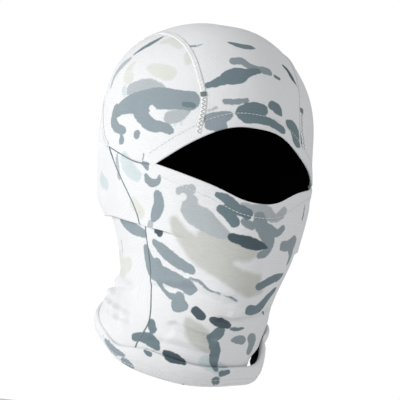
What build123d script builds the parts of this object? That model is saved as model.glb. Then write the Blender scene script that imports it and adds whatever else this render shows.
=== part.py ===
"""A knitted camouflage face mask (balaclava) as its separate sewn pieces, in millimetres.

Frame: the origin is the centre of the head that wears it, at the height of the eye opening's
corners. +Z is up, the face looks along -Y and the wearer's left is +X.
"""

import os
from math import cos, hypot, pi, sin

from build123d import *

# ---- driving dimensions -------------------------------------------------------------------
FABRIC = 1.0            # thickness of one layer of the knit
HEM_PROUD = 0.4         # how far a folded hem stands out from the panel beside it
SEAM_PROUD = 0.6        # how far a flatlock seam stands out
THREAD_PROUD = 0.35     # how far a thread stands out from what it is sewn on
LAY = 0.05              # air between a seam or a thread and the cloth under it
GAP = 0.15              # half the gap between two panels, under their seam
SLIDE_GAP = 0.3         # gap beside a hem that can be pulled away

EYE_HEM = 10.0          # depth of the hems above and below the eye opening
NECK_HEM = 16.0         # depth of the hem round the neck
HEM_RAISE = 1.0         # height of the neck hem's lower edge above the form's last section
CROWN_SEAM = 4.0        # width of the two flatlock seams over the crown
SIDE_SEAM = 2.4         # width of the seams down the sides of the neck
CAP_SEAM = 1.6          # width of the seam from the eye corner to behind the ear
THREAD = 0.7            # width of a row of stitches
REACH = 160.0           # half the length of every cutting prism

# The form that the knit is stretched over, as slanted level sections from crown to neck:
# height, half width, depth in front, depth behind, middle along Y, slope of the section.
SECTIONS = [
    (107, 16, 20, 20, 2, 0.02),
    (103, 32, 41, 42, 2, 0.04),
    (88, 56, 66, 72, 2, 0.06),
    (66, 72, 83, 93, 2, 0.06),
    (32, 80, 94, 102, 1, 0.04),
    (0, 80, 101, 101, -1, 0.02),
    (-28, 77, 105, 95, -4, 0.05),
    (-52, 67, 105, 80, -6, 0.12),
    (-76, 58, 98, 69, -6, 0.18),
    (-95, 57, 87, 62, -5, 0.22),
    (-114, 62, 76, 62, -5, 0.25),
    (-130, 68, 68, 66, -5, 0.29),
    (-143, 68, 60, 67, -4, 0.33),
    (-152, 60, 52, 64, -1, 0.36),
]
CROWN_TOP = 108.0
SECTION_POINTS = 20

# The eye opening, seen from the front: its two edges from the middle to the right-hand corner.
BROW_EDGE = [(0, 28), (18, 27), (30, 23), (42, 16), (54, 6), (66, -8)]
COVER_EDGE = [(0, -27.5), (14, -26), (29, -20.5), (44, -15.5), (56, -11.5), (66, -8)]
OPENING_START = 20.0    # how far in front of the origin the opening's cut starts
CORNER_TAPER = 0.35     # how much narrower the eye hems are at the corners

# The seams, seen from the side: eye corner, meeting point behind the ear, and down the neck.
EYE_CORNER = (-45, -8)
SEAM_MEETING = (0, 2)
SIDE_SEAM_LINE = [
    SEAM_MEETING, (-14, -20), (-28, -52), (-29, -79), (-34, -108), (-40, -126), (-36, -138),
    (-33, -175),
]

# The seam round a crown side panel, on a plane that faces out and up from that side:
# Y, and the height on that plane. It starts at the brow and ends at the meeting point.
CROWN_SEAM_LINE = [
    (-84, -25), (-80, -8), (-76, 11), (-71, 23), (-61, 32), (-50, 37), (-29, 41), (0, 44),
    (25, 42), (45, 32), (54, 12), (50, -8), (38, -22), (24, -33), (12, -43), (1, -47.5),
]
# The seam's width on that plane at each point, for a strip of even width on the curved form,
# and the points below the form that close the panel's region.
CROWN_SEAM_SPREAD = [.5, .5, .52, .56, .62, .68, .8, 1, 1, .9, .75, .75, .8, .9, 1, 1]
CROWN_CLOSING = [(0, -52), (-50, -55), (-110, -60), (-110, -30)]
CUT_START = 8.0         # where the crown cuts start, measured out from the origin
CROWN_PLANE_TILT = 0.8  # rise of that plane's normal for each unit sideways

THREAD_ROWS = (4.5, 9.0)      # heights of the two neck hem threads above the hem's lower edge
BAR_TACK = (4.6, 1.8)         # size, seen from the side, of the patch across each crown seam
BAR_TACK_POINT = 2            # where on the crown seam's line that patch is
CORNER_TACK = (1.8, 5.0)      # size, seen from the side, of the patch at each eye corner
CORNER_INSET = (4.0, 4.5)     # its place, forward of the eye corner and above it


# ---- the form ---------------------------------------------------------------------------------
def profile():
    """Mean radius and height of each section, with the crown's top first."""
    points = [(0.0, CROWN_TOP)]
    for height, half_width, front, back, _, _ in SECTIONS:
        points.append(((half_width + (front + back) / 2) / 2, height))
    return points


def outward(index):
    """How a layer's section grows sideways and upwards for each millimetre of thickness."""
    points = profile()
    before = points[index]
    after = points[min(index + 2, len(points) - 1)]
    run, rise = after[0] - before[0], after[1] - before[1]
    length = hypot(run, rise)
    return -rise / length, run / length


def section(index, grow):
    """One closed section of the form, grown outwards by the given thickness."""
    height, half_width, front, back, middle, slope = SECTIONS[index]
    sideways, upwards = outward(index)
    points = []
    for step in range(SECTION_POINTS):
        azimuth = pi + 2 * pi * step / SECTION_POINTS
        depth = front if cos(azimuth) > 0 else back
        across = (half_width + grow * sideways) * sin(azimuth)
        forward = -(depth + grow * sideways) * cos(azimuth)
        points.append((across, middle + forward, height + grow * upwards + slope * forward))
    return Wire([Edge.make_spline(points, periodic=True)])


def form(grow):
    """The whole form as one closed solid, with its outer face grown by the given thickness."""
    sections = [section(index, grow) for index in range(len(SECTIONS))]
    return Solid.make_loft([Vertex(0, SECTIONS[0][4], CROWN_TOP + grow)] + sections)


def below_neck():
    """Everything below the slanted plane of the neck hem's lower edge."""
    return hem_slab(-REACH, 0.0)


def hem_slab(low, high):
    """The space between two planes parallel to the neck hem's lower edge."""
    height, _, _, _, middle, slope = SECTIONS[-1]
    plane = Plane(origin=(0, middle, height + HEM_RAISE), x_dir=(1, 0, 0), z_dir=(0, -slope, 1))
    slab = Box(2 * REACH, 2 * REACH, high - low, align=(Align.CENTER, Align.CENTER, Align.MIN))
    return plane * Pos(0, 0, low) * slab


def layer(inner, outer):
    """A hollow layer of the form, open at the neck, between two offsets of the fabric's face."""
    return form(outer) - form(inner) - below_neck()


# ---- cutting outlines ---------------------------------------------------------------------------
def normals(points):
    """The left-hand unit normal at each point of an open outline."""
    found = []
    for index in range(len(points)):
        ahead = points[min(index + 1, len(points) - 1)]
        behind = points[max(index - 1, 0)]
        run, rise = ahead[0] - behind[0], ahead[1] - behind[1]
        length = hypot(run, rise)
        found.append((-rise / length, run / length))
    return found


def moved(points, distance):
    """The outline moved to its left; the distance is one number or one for each point."""
    distances = distance if isinstance(distance, list) else [distance] * len(points)
    sides = normals(points)
    return [
        (point[0] + side[0] * far, point[1] + side[1] * far)
        for point, side, far in zip(points, sides, distances)
    ]


def smooth(points):
    return Edge.make_spline([Vector(x, y) for x, y in points])


def straight(*points):
    return [Edge.make_line(Vector(*a), Vector(*b)) for a, b in zip(points[:-1], points[1:])]


def ribbon(points, left, right):
    """The strip between an outline moved to its left and the same outline moved to its right."""
    one, other = moved(points, left), moved(points, right)
    ends = straight(one[-1], other[-1]) + straight(one[0], other[0])
    return Face(Wire([smooth(one), smooth(other)] + ends))


def prism(face, plane, low, high):
    """A face drawn on a plane, pushed along the plane's normal from one distance to another."""
    return extrude(plane.offset(low) * face, high - low, dir=plane.z_dir)


FRONT = Plane(origin=(0, 0, 0), x_dir=(1, 0, 0), z_dir=(0, -1, 0))
SIDE = Plane(origin=(0, 0, 0), x_dir=(0, 1, 0), z_dir=(1, 0, 0))
CROWN = Plane(origin=(0, 0, 0), x_dir=(0, -1, 0), z_dir=(-1, 0, CROWN_PLANE_TILT))


def on_crown_plane(points):
    """The plane's own first axis is -Y, so an outline given along Y is turned over."""
    return [(-y, height) for y, height in points]


def left_of(right):
    """The left-hand twin of a right-hand piece."""
    return mirror(right, about=Plane.YZ)


def both_sides(half):
    """The outline from the right-hand corner to the left, from its left half."""
    return [(-x, z) for x, z in reversed(half)] + half[1:]


def tapered(depth, points):
    """A hem's depth at each point, narrower towards the eye corners."""
    corner = BROW_EDGE[-1][0]
    return [depth * (1 - CORNER_TAPER * (abs(x) / corner) ** 2) for x, _ in points]


def opening_outline(hem_depth):
    """The eye opening as a face, made larger by the hems when their depth is given."""
    brow = both_sides(BROW_EDGE)
    cover = both_sides(COVER_EDGE)
    upper = moved(brow, tapered(hem_depth, brow))
    lower = moved(cover, [-far for far in tapered(hem_depth, cover)])
    ends = []
    if hem_depth > 0:
        ends = straight(upper[0], lower[0]) + straight(upper[-1], lower[-1])
    return Face(Wire([smooth(upper), smooth(lower)] + ends))


def opening_cut(hem_depth):
    return prism(opening_outline(hem_depth), FRONT, OPENING_START, REACH)


def front_outline(inset):
    """The region of the front panel seen from the side, made smaller by a gap all round."""
    neck = moved(SIDE_SEAM_LINE, -inset)
    corner = (EYE_CORNER[0], EYE_CORNER[1] - inset)
    start = (SEAM_MEETING[0] - inset, SEAM_MEETING[1] - inset)
    neck[0] = start
    edges = [smooth(neck)]
    edges += straight(start, corner, (-REACH, corner[1]), (-REACH, neck[-1][1]), neck[-1])
    return Face(Wire(edges))


def front_cut(inset):
    return prism(front_outline(inset), SIDE, -REACH, REACH)


def crown_cut(grow):
    """The region of the right crown side panel, made larger by a gap."""
    line = moved(CROWN_SEAM_LINE, grow)
    rest = [line[-1]] + CROWN_CLOSING + [line[0]]
    edges = [smooth(on_crown_plane(line))] + straight(*on_crown_plane(rest))
    return prism(Face(Wire(edges)), CROWN, CUT_START, REACH)


def crown_ribbon(half_width):
    """A strip along the right crown seam, of even width on the curved form."""
    left = moved(CROWN_SEAM_LINE, [half_width * spread for spread in CROWN_SEAM_SPREAD])
    right = moved(CROWN_SEAM_LINE, [-half_width * spread for spread in CROWN_SEAM_SPREAD])
    left, right = on_crown_plane(left), on_crown_plane(right)
    ends = straight(left[0], right[0]) + straight(left[-1], right[-1])
    return prism(Face(Wire([smooth(left), smooth(right)] + ends)), CROWN, CUT_START, REACH)


def side_ribbon(points, half_width):
    """A strip along a line seen from the side, on the right-hand side only."""
    return prism(ribbon(points, half_width, -half_width), SIDE, -REACH, 0)


# ---- stitches ---------------------------------------------------------------------------------
def thread_line(points, plane, low, high):
    """One continuous row of stitches along an outline drawn on a plane."""
    return prism(ribbon(points, THREAD / 2, -THREAD / 2), plane, low, high)


def tack(plane, place, size, low):
    """A dense patch of stitches, as a block that stands on the given plane."""
    block = Box(*size, REACH - low, align=(Align.CENTER, Align.CENTER, Align.MIN))
    return plane.offset(low) * Pos(*place) * block


# ---- the layers of cloth and thread ---------------------------------------------------------------
fabric = layer(-FABRIC, 0)
folded = layer(-FABRIC - HEM_PROUD, HEM_PROUD)
taped = layer(LAY, SEAM_PROUD)
hem_thread = layer(HEM_PROUD + LAY, HEM_PROUD + LAY + THREAD_PROUD)
seam_thread = layer(SEAM_PROUD + LAY, SEAM_PROUD + LAY + THREAD_PROUD)

opening = opening_cut(0)
opening_with_hems = opening_cut(EYE_HEM)
opening_and_gap = opening_cut(EYE_HEM + SLIDE_GAP)
front = front_cut(GAP)
not_front = front_cut(-GAP)
neck_hem_space = hem_slab(0, NECK_HEM)
neck_and_gap = hem_slab(-REACH, NECK_HEM + SLIDE_GAP)
right_crown = crown_cut(-GAP)
around_right_crown = crown_cut(GAP)
crown_strip = crown_ribbon(CROWN_SEAM / 2)
crown_strip_and_gap = crown_ribbon(CROWN_SEAM / 2 + LAY)


# ---- the pieces -----------------------------------------------------------------------------------
def panels():
    """The four panels of knit: centre and back, two crown sides, and the front."""
    cloth = fabric - opening_and_gap - neck_and_gap
    rear = cloth - not_front
    side = rear & right_crown
    return {
        "center_back_panel": rear - around_right_crown - left_of(around_right_crown),
        "crown_side_panel_right": side,
        "crown_side_panel_left": left_of(side),
        "front_panel": cloth & front,
    }


def hems():
    """The doubled edges of the eye opening and of the neck."""
    eye_hem = folded & opening_with_hems - opening
    return {
        "brow_hem": eye_hem - front_cut(-SLIDE_GAP / 2),
        "face_cover_hem": eye_hem & front_cut(SLIDE_GAP / 2),
        "neck_hem": folded & neck_hem_space,
    }


def seams():
    """The seams that join the panels."""
    tape = taped - opening_and_gap - neck_and_gap
    cap_line = [EYE_CORNER, (-22, -3), SEAM_MEETING]
    cap_strip = side_ribbon(cap_line, CAP_SEAM / 2)
    crown = tape & crown_strip
    cap = (tape & cap_strip) - crown_strip_and_gap
    side = (tape & side_ribbon(SIDE_SEAM_LINE, SIDE_SEAM / 2)) - crown_strip_and_gap
    side = side - side_ribbon(cap_line, CAP_SEAM / 2 + LAY)
    return {
        "crown_seam_right": crown,
        "crown_seam_left": left_of(crown),
        "cap_seam_right": cap,
        "cap_seam_left": left_of(cap),
        "side_seam_right": side,
        "side_seam_left": left_of(side),
    }


def stitching():
    """The rows of thread on the hems and the crown seams, and the dense tacks at their ends."""
    inset = EYE_HEM - THREAD
    brow, cover = both_sides(BROW_EDGE), both_sides(COVER_EDGE)
    brow_row = moved(brow, tapered(inset, brow))[1:-1]
    cover_row = moved(cover, [-far for far in tapered(inset, cover)])[1:-1]
    neck_rows = [hem_slab(height - THREAD / 2, height + THREAD / 2) for height in THREAD_ROWS]
    brow_place = on_crown_plane([CROWN_SEAM_LINE[BAR_TACK_POINT]])[0]
    patch = tack(CROWN, brow_place, BAR_TACK, CUT_START)
    crown = (seam_thread & crown_ribbon(THREAD / 2)) - opening_and_gap - patch
    brow_tack = seam_thread & patch
    corner_place = (EYE_CORNER[0] - CORNER_INSET[0], EYE_CORNER[1] + CORNER_INSET[1])
    corner_tack = hem_thread & tack(SIDE, corner_place, CORNER_TACK, 0)
    return {
        "brow_hem_stitches": hem_thread & thread_line(brow_row, FRONT, OPENING_START, REACH),
        "face_cover_hem_stitches": hem_thread & thread_line(cover_row, FRONT, OPENING_START, REACH),
        "neck_hem_stitches_lower": hem_thread & neck_rows[0],
        "neck_hem_stitches_upper": hem_thread & neck_rows[1],
        "crown_seam_stitches_right": crown,
        "crown_seam_stitches_left": left_of(crown),
        "brow_bar_tack_right": brow_tack,
        "brow_bar_tack_left": left_of(brow_tack),
        "corner_bar_tack_right": left_of(corner_tack),
        "corner_bar_tack_left": corner_tack,
    }


os.makedirs("parts", exist_ok=True)
for pieces in (panels(), hems(), seams(), stitching()):
    for node, piece in pieces.items():
        export_step(piece, f"parts/{node}.step")
        print(node, len(piece.solids()), round(piece.volume))
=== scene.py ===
"""The looks of a knitted snow-camouflage face mask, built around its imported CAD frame.

Everything is worked out in the frame's own axes: +Z up, the face looks along -Y and the
wearer's left is +X. Shapes are in millimetres until a mesh is made, which is in metres.
A place on the cloth is an azimuth in degrees, 0 in front and positive to the wearer's left,
and a distance along the cloth from the middle of the crown.
"""

from math import cos, pi, radians, sin

import bmesh
import bpy
import numpy as np
from mathutils import Matrix, Vector


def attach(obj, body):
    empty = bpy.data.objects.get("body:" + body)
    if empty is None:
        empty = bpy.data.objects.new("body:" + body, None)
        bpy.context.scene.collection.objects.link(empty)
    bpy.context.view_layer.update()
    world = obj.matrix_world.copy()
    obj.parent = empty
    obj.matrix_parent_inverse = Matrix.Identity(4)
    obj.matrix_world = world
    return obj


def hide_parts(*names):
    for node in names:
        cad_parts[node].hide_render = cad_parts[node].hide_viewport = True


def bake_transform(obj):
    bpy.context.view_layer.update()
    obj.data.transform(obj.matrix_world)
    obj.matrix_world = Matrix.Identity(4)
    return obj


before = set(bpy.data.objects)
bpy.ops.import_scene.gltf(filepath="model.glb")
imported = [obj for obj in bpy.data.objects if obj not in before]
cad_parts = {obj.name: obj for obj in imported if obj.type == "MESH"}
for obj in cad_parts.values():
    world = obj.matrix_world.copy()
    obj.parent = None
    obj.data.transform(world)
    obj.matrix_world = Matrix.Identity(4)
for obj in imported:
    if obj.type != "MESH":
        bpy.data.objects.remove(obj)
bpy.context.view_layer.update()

MM = 0.001

# ---- sizes shared with the CAD ----------------------------------------------------------------
FABRIC = 1.0
EYE_HEM = 10.0
CORNER_TAPER = 0.35
CROWN_SEAM = 4.0
SIDE_SEAM = 2.4
CAP_SEAM = 1.6
CROWN_TOP = 108.0
HEM_HEIGHT = -151.0
HEM_SLOPE = 0.36
HEM_MIDDLE = -1.0
PLANE_TILT = 0.8
PLANE_LENGTH = 1.2806
# The sections are a least-squares fit to the photo's outline, rounded and evened out.
SECTIONS = [
    (107, 16, 20, 20, 2, 0.02),
    (103, 32, 41, 42, 2, 0.04),
    (88, 56, 66, 72, 2, 0.06),
    (66, 72, 83, 93, 2, 0.06),
    (32, 80, 94, 102, 1, 0.04),
    (0, 80, 101, 101, -1, 0.02),
    (-28, 77, 105, 95, -4, 0.05),
    (-52, 67, 105, 80, -6, 0.12),
    (-76, 58, 98, 69, -6, 0.18),
    (-95, 57, 87, 62, -5, 0.22),
    (-114, 62, 76, 62, -5, 0.25),
    (-130, 68, 68, 66, -5, 0.29),
    (-143, 68, 60, 67, -4, 0.33),
    (-152, 60, 52, 64, -1, 0.36),
]
BROW_EDGE = [(0, 28), (18, 27), (30, 23), (42, 16), (54, 6), (66, -8)]
COVER_EDGE = [(0, -27.5), (14, -26), (29, -20.5), (44, -15.5), (56, -11.5), (66, -8)]
EYE_CORNER = (-45, -8)
SEAM_MEETING = (0, 2)
CAP_LINE = [EYE_CORNER, (-22, -3), SEAM_MEETING]
CAP_JOIN_LINE = [(-57, -8.6)] + CAP_LINE
CROWN_CLOSING = [(0, -52), (-50, -55), (-110, -60), (-110, -30)]

# ---- sewn lines that lie a little away from the CAD's, by up to 17 mm at the neck --------------
SIDE_SEAM_LINE = [
    SEAM_MEETING, (-20, -16), (-36, -34), (-46, -55), (-46, -79), (-48, -108), (-50, -124),
    (-46, -138), (-43, -175),
]
CROWN_SEAM_LINE = [
    (-84, -25), (-80, -8), (-75, 10), (-68, 19), (-58, 28), (-46, 35), (-27, 41), (0, 44), (25, 42),
    (45, 32), (54, 12), (50, -8), (38, -22), (24, -33), (12, -43), (1, -47.5),
]

# ---- sizes of the finish ---------------------------------------------------------------------
COLUMNS = 320
ROWS = 220
SPLIT_HEIGHT = 42.0     # height above the neck hem where the throat meets the front panel
SPLIT_SIDE = 30.0       # distance from the middle where the front panel's cheeks start
TUCK = 1.2              # how far a panel runs under a hem or a seam
STITCH_INSET = 9.3      # depth of the stitches on the eye hems
THREAD_RADIUS = 0.24
PANEL_END = 0.9         # how far inside the neck cuff's lower edge the panels end
WALE = 0.0017           # metres across one eyelet of the knit
COURSE = 0.0015         # metres along one eyelet of the knit


# ---- curves ------------------------------------------------------------------------------------
def spline_slopes(knots, values, first=None):
    """Slopes of a cubic spline at its knots; the first may be given, free ends are natural."""
    count = len(knots)
    gaps = np.diff(knots)
    matrix = np.zeros((count, count))
    right = np.zeros((count,) + values.shape[1:])
    for k in range(1, count - 1):
        matrix[k, k - 1] = gaps[k]
        matrix[k, k] = 2 * (gaps[k - 1] + gaps[k])
        matrix[k, k + 1] = gaps[k - 1]
        before = (values[k] - values[k - 1]) / gaps[k - 1]
        after = (values[k + 1] - values[k]) / gaps[k]
        right[k] = 3 * (gaps[k] * before + gaps[k - 1] * after)
    if first is None:
        matrix[0, 0], matrix[0, 1] = 2, 1
        right[0] = 3 * (values[1] - values[0]) / gaps[0]
    else:
        matrix[0, 0] = 1
        right[0] = first
    matrix[-1, -1], matrix[-1, -2] = 2, 1
    right[-1] = 3 * (values[-1] - values[-2]) / gaps[-1]
    return np.linalg.solve(matrix, right.reshape(count, -1)).reshape(right.shape)


def spline(knots, values, slopes, at):
    """The cubic spline's values at any places."""
    at = np.asarray(at, float)
    k = np.clip(np.searchsorted(knots, at) - 1, 0, len(knots) - 2)
    gap = (knots[k + 1] - knots[k])[..., None]
    u = (at - knots[k])[..., None] / gap
    a, b, c, d = values[k], values[k + 1], slopes[k] * gap, slopes[k + 1] * gap
    return a + u * (c + u * (3 * (b - a) - 2 * c - d + u * (2 * (a - b) + c + d)))


def smooth_line(points, step=1.0):
    """A smooth line through points, as closely spaced points."""
    points = np.array(points, float)
    knots = np.concatenate([[0], np.cumsum(np.linalg.norm(np.diff(points, axis=0), axis=1))])
    slopes = spline_slopes(knots, points)
    return spline(knots, points, slopes, np.linspace(0, knots[-1], int(knots[-1] / step) + 2))


def moved(points, distance):
    """A flat line moved to its left, by one distance or one for each point."""
    points = np.array(points, float)
    along = np.gradient(points, axis=0)
    along /= np.linalg.norm(along, axis=1)[:, None]
    left = np.stack([-along[:, 1], along[:, 0]], 1)
    return points + left * np.reshape(distance, (-1, 1))


def both_sides(half):
    """A line across the face, from the half of it on the wearer's left."""
    return [(-x, z) for x, z in reversed(half)] + half[1:]


def step(value, low, high):
    """0 before low, 1 after high, smooth between; low may be the larger."""
    u = np.clip((np.asarray(value, float) - low) / (high - low), 0, 1)
    return u * u * (3 - 2 * u)


def bump(value, middle, width):
    """1 at the middle, falling off smoothly on both sides."""
    return np.exp(-(((value - middle) / width) ** 2))


def window(value, rise, full, fade, end):
    """0 up to rise, 1 from full to fade, 0 after end."""
    return step(value, rise, full) * (1 - step(value, fade, end))


# ---- the form that the knit is stretched over --------------------------------------------------
RINGS = np.array([(CROWN_TOP, 0, 0, 0, 2, 0.02)] + SECTIONS, float)
RADII = (RINGS[:, 1] + (RINGS[:, 2] + RINGS[:, 3]) / 2) / 2
KNOTS = np.concatenate([[0], np.cumsum(np.hypot(np.diff(RADII), np.diff(RINGS[:, 0])))])
SLOPES = spline_slopes(KNOTS, RINGS, np.array([0, 0.8, 1, 1, 0, 0]))
LENGTH = KNOTS[-1]


def form(azimuth, along):
    """Places on the head form, without folds."""
    height, width, front, back, middle, slope = np.moveaxis(
        spline(KNOTS, RINGS, SLOPES, along), -1, 0)
    turn = np.radians(azimuth)
    forward = -np.where(np.cos(turn) > 0, front, back) * np.cos(turn)
    return np.stack([width * np.sin(turn), middle + forward, height + slope * forward], -1)


def normals_of(surface, azimuth, along, reach=0.3):
    """Outward unit normals of a surface given as a function of azimuth and distance along."""
    low = np.maximum(along - reach, 0.02)
    high = np.minimum(along + reach, LENGTH)
    down = surface(azimuth, high) - surface(azimuth, low)
    turn = reach * 0.8
    across = surface(azimuth + turn, along) - surface(azimuth - turn, along)
    normal = np.cross(down, across)
    return normal / np.maximum(np.linalg.norm(normal, axis=-1), 1e-9)[..., None]


def hem_level(place):
    """Height above the plane of the neck hem's lower edge."""
    return place[..., 2] - HEM_HEIGHT - HEM_SLOPE * (place[..., 1] - HEM_MIDDLE)


def groove(azimuth, height, points, width, fade):
    """1 along a line of (azimuth, height) points, falling off to both sides and at its ends."""
    line = np.array(points, float)
    middle = np.interp(azimuth, line[:, 0], line[:, 1])
    ends = step(azimuth, line[0, 0] - fade, line[0, 0]) * (
        1 - step(azimuth, line[-1, 0], line[-1, 0] + fade))
    return bump(height, middle, width) * ends


NAPE_CREASE = [
    (-150, -52), (-125, -50), (-108, -50), (-92, -50), (-80, -52), (-67, -54), (-57, -55.5),
    (-40, -58),
]
FOLD_LINES = [          # height of the fold, its line as (azimuth, height), width, fade at its ends
    (-3.0, [(-10, -114), (-2, -114), (12, -110), (30, -105), (44, -102)], 2.2, 6),
    (1.2, [(-4, -108), (12, -104), (34, -98)], 4.0, 6),
    (-2.4, [(-38, -122), (-31, -124.5), (-22, -127), (-12, -129)], 1.9, 6),
    (1.9, [(-34, -130), (-8, -136)], 3.4, 6),
    (-1.5, [(-46, -136), (-28, -138), (-6, -143)], 2.4, 6),
    (1.1, [(-60, -92), (-38, -88), (-14, -95)], 3.0, 10),
    (-0.8, [(-58, -97), (-36, -94), (-12, -101)], 2.4, 10),
    (-1.6, [(-170, -96), (-130, -104), (-84, -100)], 2.5, 14),
    (1.8, [(-170, -90), (-130, -97), (-90, -93)], 4.5, 14),
    (-1.4, [(84, -98), (130, -94), (172, -88)], 2.8, 14),
    (1.4, [(84, -91), (130, -87), (172, -82)], 4.5, 14),
]
UNEVEN = 0.35           # gentle unevenness all over
FINE_UNEVEN = 0.25
EAR_BULGE = 3.6
NECK_PUFF = 2.4         # slack cloth above the cuff on the wearer's right
NECK_WAIST = 4.5
CRUMPLE, FINE_CRUMPLE = 1.2, 0.9
CUFF_GAP = 10.0         # the panel stands back here from the cuff's far lip
FAR_PUFF = 4.0
PULL_LEFT, PULL_RIGHT = 14.0, 3.2


def ledge(azimuth, height, full):
    """The upper cloth hangs over a crease under the ear, and the neck tucks in beneath it."""
    line = np.array(NAPE_CREASE, float)
    over = height - np.interp(azimuth, line[:, 0], line[:, 1])
    reach = window(azimuth, -160, -118, -62, -34)
    above = np.where(over > 0, np.exp(-over / 9.0), 0) * step(over, -0.2, 1.4)
    below = np.where(over <= 0, np.exp(over / 5.0), np.exp(-over / 0.5))
    return full * reach * (2.9 * above - 2.6 * below)


def neck_pull(azimuth, level):
    """How far the sides of the neck are drawn in beside its hem."""
    left = window(azimuth, 28, 56, 112, 150) * step(level, 60, 24)
    right = window(azimuth, -168, -128, -86, -62) * step(level, 48, 26)
    return -PULL_LEFT * left - PULL_RIGHT * right


def folds(azimuth, place):
    """How far the worn cloth stands out from the form, in millimetres."""
    height, level = place[..., 2], hem_level(place)
    azimuth = (azimuth + 180) % 360 - 180
    turn = np.radians(azimuth)
    out = UNEVEN * np.sin(4.5 * turn + height * 0.045) * step(height, 100, 60)
    out = out + FINE_UNEVEN * np.sin(height * 0.11 + turn * 3)
    out = out + ledge(azimuth, height, 1.0) + ledge(-azimuth, height + 3, 0.8)
    out = out + EAR_BULGE * window(azimuth, -152, -122, -98, -84) * bump(height, -38, 11)
    for size, line, width, fade in FOLD_LINES:
        out = out + size * groove(azimuth, height, line, width, fade)
    puff = window(azimuth, -146, -116, -78, -56) * step(level, 43, 30) * step(level, 15, 20)
    out = out + NECK_PUFF * puff + neck_pull(azimuth, level)
    out = out - NECK_WAIST * window(azimuth, -168, -128, -84, -56) * bump(level, 50, 10)
    crumple = window(azimuth, -150, -120, -76, -60) * bump(level, 36, 7)
    out = out + CRUMPLE * crumple * np.sin(0.42 * azimuth + 0.35 * level)
    out = out + FINE_CRUMPLE * crumple * np.sin(0.23 * azimuth - 0.8 * level)
    out = out - CUFF_GAP * window(azimuth, 21, 35, 46, 68) * window(level, 10, 14, 24, 42)
    puff = window(azimuth, 66, 96, 140, 176) * step(level, 50, 30) * step(level, 13.5, 17)
    return out + FAR_PUFF * puff


def shift(azimuth, place):
    """How far the worn cloth is drawn up or down on the far cheek and brow."""
    height = place[..., 2]
    droop = -6.0 * bump(azimuth, 30, 17) * window(height, -14, -4, 34, 66)
    lift = 3.0 * bump(azimuth, 34, 15) * window(height, -60, -36, -22, -10)
    return droop + lift


def cloth(azimuth, along):
    """The outer face of the worn cloth."""
    place = form(azimuth, along)
    normal = normals_of(form, azimuth, along)
    down = form(azimuth, np.minimum(along + 0.5, LENGTH)) - place
    down /= np.maximum(np.linalg.norm(down, axis=-1), 1e-9)[..., None]
    place = place - down * shift(azimuth, place)[..., None]
    return place + normal * folds(azimuth, place)[..., None]


# ---- distances from the outlines that the pieces are cut to -------------------------------------
def distance_to(outline, first, second):
    """Distance of flat points from a closed outline, negative inside it."""
    outline = np.array(outline, float)
    start, end = outline, np.roll(outline, -1, axis=0)
    best = np.full(first.shape, 1e9)
    inside = np.zeros(first.shape, bool)
    for (ax, ay), (bx, by) in zip(start, end):
        run, rise = bx - ax, by - ay
        size = run * run + rise * rise
        if size < 1e-12:
            continue
        u = np.clip(((first - ax) * run + (second - ay) * rise) / size, 0, 1)
        best = np.minimum(best, (first - ax - u * run) ** 2 + (second - ay - u * rise) ** 2)
        crosses = (ay > second) != (by > second)
        if by != ay:
            inside ^= crosses & (first < ax + (second - ay) * run / (by - ay))
    return np.where(inside, -1, 1) * np.sqrt(best)


def opening_outline():
    upper, lower = smooth_line(both_sides(BROW_EDGE), 3), smooth_line(both_sides(COVER_EDGE), 3)
    return np.concatenate([upper, lower[::-1][1:-1]])


def front_outline():
    seam = smooth_line(SIDE_SEAM_LINE, 3)
    return np.concatenate([seam, [(-160, -175), (-160, EYE_CORNER[1])], [EYE_CORNER],
                           [CAP_LINE[1]]])


def crown_outline():
    return np.concatenate([smooth_line(CROWN_SEAM_LINE, 3), CROWN_CLOSING])


def crown_view(place, side):
    """Y and the height on the plane that faces out and up from one side."""
    return place[..., 1], (place[..., 2] - PLANE_TILT * side * place[..., 0]) / PLANE_LENGTH


def far_from(value, keep):
    """A field that only counts where keep is true."""
    return np.where(keep, value, 1e3)


# ---- cutting a grid of faces along fields ----------------------------------------------------
class Patch:
    """Vertices as rows of numbers, and faces as quads and as cut polygons."""

    def __init__(self, rows, quads, polygons):
        self.rows, self.quads, self.polygons = rows, quads, polygons

    def cut(self, field):
        """Keeps the part where the field's column, or a function of the rows, is negative."""
        value = self.rows[:, field] if isinstance(field, int) else field(self.rows)
        inside = value < 0
        count = inside[self.quads].sum(1)
        whole = self.quads[count == 4]
        loose = [list(q) for q in self.quads[(count > 0) & (count < 4)]] + self.polygons
        extra, made, kept = [], {}, []
        total = len(self.rows)
        for face in loose:
            new = []
            for k, one in enumerate(face):
                two = face[(k + 1) % len(face)]
                if inside[one]:
                    new.append(one)
                if inside[one] != inside[two]:
                    key = (min(one, two), max(one, two))
                    if key not in made:
                        a, b = self.rows[key[0]], self.rows[key[1]].copy()
                        b[0] += 360 * (b[0] - a[0] < -180) - 360 * (b[0] - a[0] > 180)
                        share = value[key[0]] / (value[key[0]] - value[key[1]])
                        extra.append(a + (b - a) * min(max(share, 0.02), 0.98))
                        made[key] = total + len(extra) - 1
                    new.append(made[key])
            if len(new) > 2:
                kept.append(new)
        rows = np.concatenate([self.rows, extra]) if extra else self.rows
        return Patch(rows, whole, kept)

    def tidy(self):
        """Drops the vertices that no face uses."""
        used = np.zeros(len(self.rows), bool)
        used[self.quads.ravel()] = True
        for face in self.polygons:
            used[face] = True
        place = np.cumsum(used) - 1
        return Patch(self.rows[used], place[self.quads],
                     [[int(place[v]) for v in face] for face in self.polygons])


AZ, ALONG, PX, NX, OPEN, FRONT, CROWN_R, CROWN_L, LEVEL, CAMO = 0, 1, 2, 5, 8, 9, 10, 11, 12, 13
TONES = ["beige", "cream", "ice", "light", "grey", "slate", "dark", "white"]
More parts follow.
